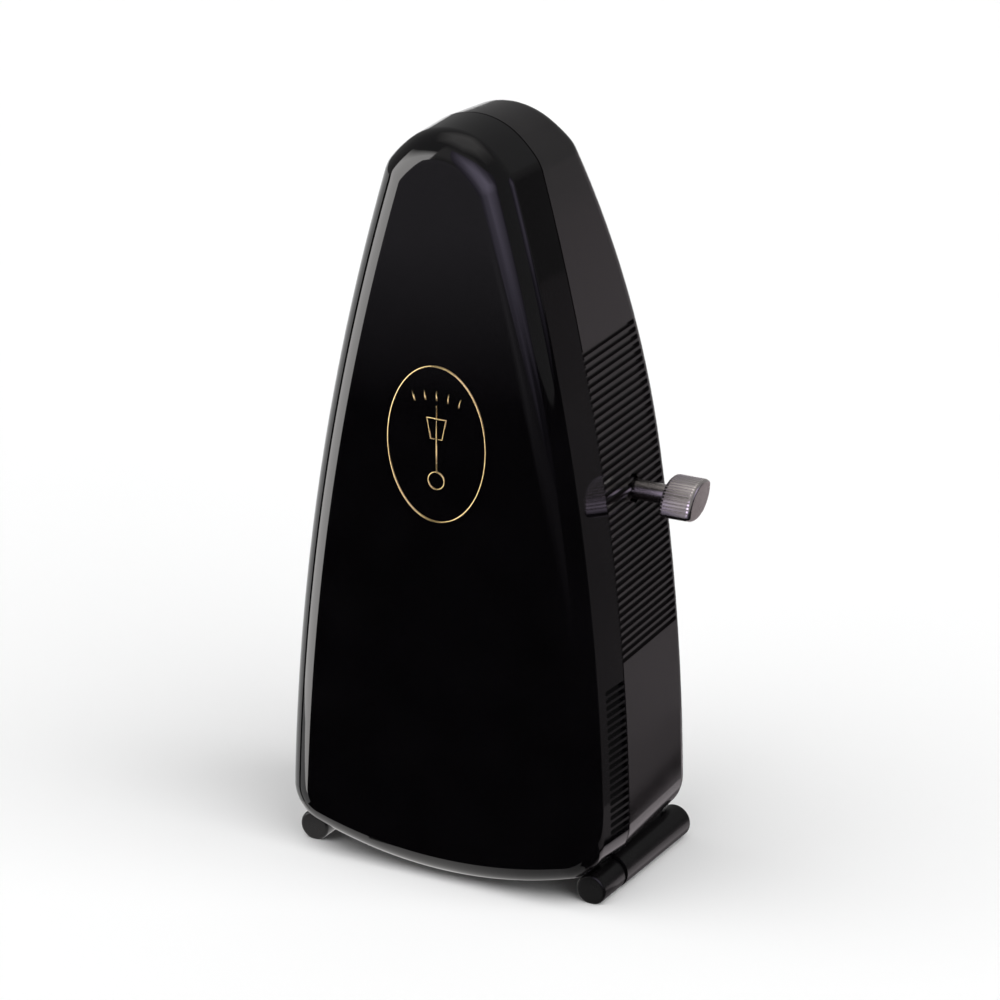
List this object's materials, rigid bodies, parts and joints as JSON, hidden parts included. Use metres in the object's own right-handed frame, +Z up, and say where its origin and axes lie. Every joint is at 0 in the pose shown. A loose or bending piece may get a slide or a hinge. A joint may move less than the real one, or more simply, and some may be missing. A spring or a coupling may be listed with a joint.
{
  "type": "metronome",
  "caption": "Wind-up pendulum metronome in a tall tapered two-part plastic case with ribbed sides, bar feet and a side winding key.",
  "frame": {"origin": "on the ground, in the middle of the casing width, under the seam between rear case and cover", "axes": "+Z up, -Y to the front face, +X to the winding key"},
  "size_m": [0.0794, 0.0467, 0.1585],
  "materials": {
    "black_gloss": "high gloss",
    "black_satin": "satin",
    "badge": "gloss with a gilt border",
    "nickel": "satin nickel",
    "scale": "satin",
    "steel": "brushed",
    "spring_steel": "blued",
    "brass": "satin"
  },
  "bodies": {
    "case": {"rear_case": "black_gloss", "left_foot_bar": "black_satin", "right_foot_bar": "black_satin", "scale_plate": "scale", "scale_screws": "steel", "pendulum_catch": "steel", "left_plate": "brass", "right_plate": "brass", "plate_pillars": "steel", "left_plate_screws": "steel", "right_plate_screws": "steel", "movement_screws": "steel", "front_bridge": "brass", "rear_bridge": "brass", "front_bush": "brass", "rear_bush": "brass", "bridge_screws": "steel", "escape_cock": "brass", "click_post": "steel", "click_spring": "spring_steel"},
    "cover": {"front_cover": "black_gloss", "left_cover_foot": "black_satin", "right_cover_foot": "black_satin", "left_foot_cap": "black_satin", "right_foot_cap": "black_satin", "badge_panel": "badge"},
    "key": {"winding_key": "nickel", "winding_arbor": "steel", "ratchet_wheel": "steel"},
    "click_lever": {"click": "steel"},
    "barrel": {"great_wheel": "brass", "spring_barrel": "brass", "barrel_lid": "brass", "mainspring": "spring_steel"},
    "second_train": {"second_arbor": "steel", "second_pinion": "steel", "second_wheel": "brass"},
    "escape_train": {"escape_arbor": "steel", "escape_pinion": "steel", "escape_wheel": "brass"},
    "pendulum": {"pendulum_staff": "steel", "front_pallet": "steel", "rear_pallet": "steel", "pendulum_hub": "brass", "hub_nut": "steel", "pendulum_rod": "steel", "lower_arm": "steel", "counterweight": "brass"},
    "weight": {"tempo_weight": "brass", "weight_clip": "spring_steel"}
  },
  "joints": [
    {"name": "cover_pull", "type": "slide", "parent": "case", "child": "cover", "axis": [0, -1, 0], "range_m": [0, 0.06]},
    {"name": "key_turn", "type": "hinge", "parent": "case", "child": "key", "pos_m": [0.02, 0.0146, 0.081], "axis": [1, 0, 0], "continuous": true},
    {"name": "click_lift", "type": "hinge", "parent": "case", "child": "click_lever", "pos_m": [0.018, 0.0066, 0.084], "axis": [1, 0, 0], "range_deg": [0, 8], "stiffness_Nm_per_rad": 0.0005},
    {"name": "barrel_turn", "type": "hinge", "parent": "case", "child": "barrel", "pos_m": [-0.008, 0.0146, 0.081], "axis": [1, 0, 0], "continuous": true},
    {"name": "second_turn", "type": "hinge", "parent": "case", "child": "second_train", "pos_m": [0, 0.0146, 0.069], "axis": [1, 0, 0], "continuous": true},
    {"name": "escape_turn", "type": "hinge", "parent": "case", "child": "escape_train", "pos_m": [0.01, 0.0146, 0.05775], "axis": [1, 0, 0], "continuous": true},
    {"name": "pendulum_swing", "type": "hinge", "parent": "case", "child": "pendulum", "pos_m": [0, 0.01, 0.05775], "axis": [0, 1, 0], "range_deg": [-12, 12]},
    {"name": "weight_slide", "type": "slide", "parent": "pendulum", "child": "weight", "axis": [0, 0, 1], "range_m": [-0.028, 0.016]}
  ],
  "couplings": [
    {"joint": "second_turn", "follows": "barrel_turn", "ratio": -3.8},
    {"joint": "escape_turn", "follows": "barrel_turn", "ratio": 15.2}
  ]
}
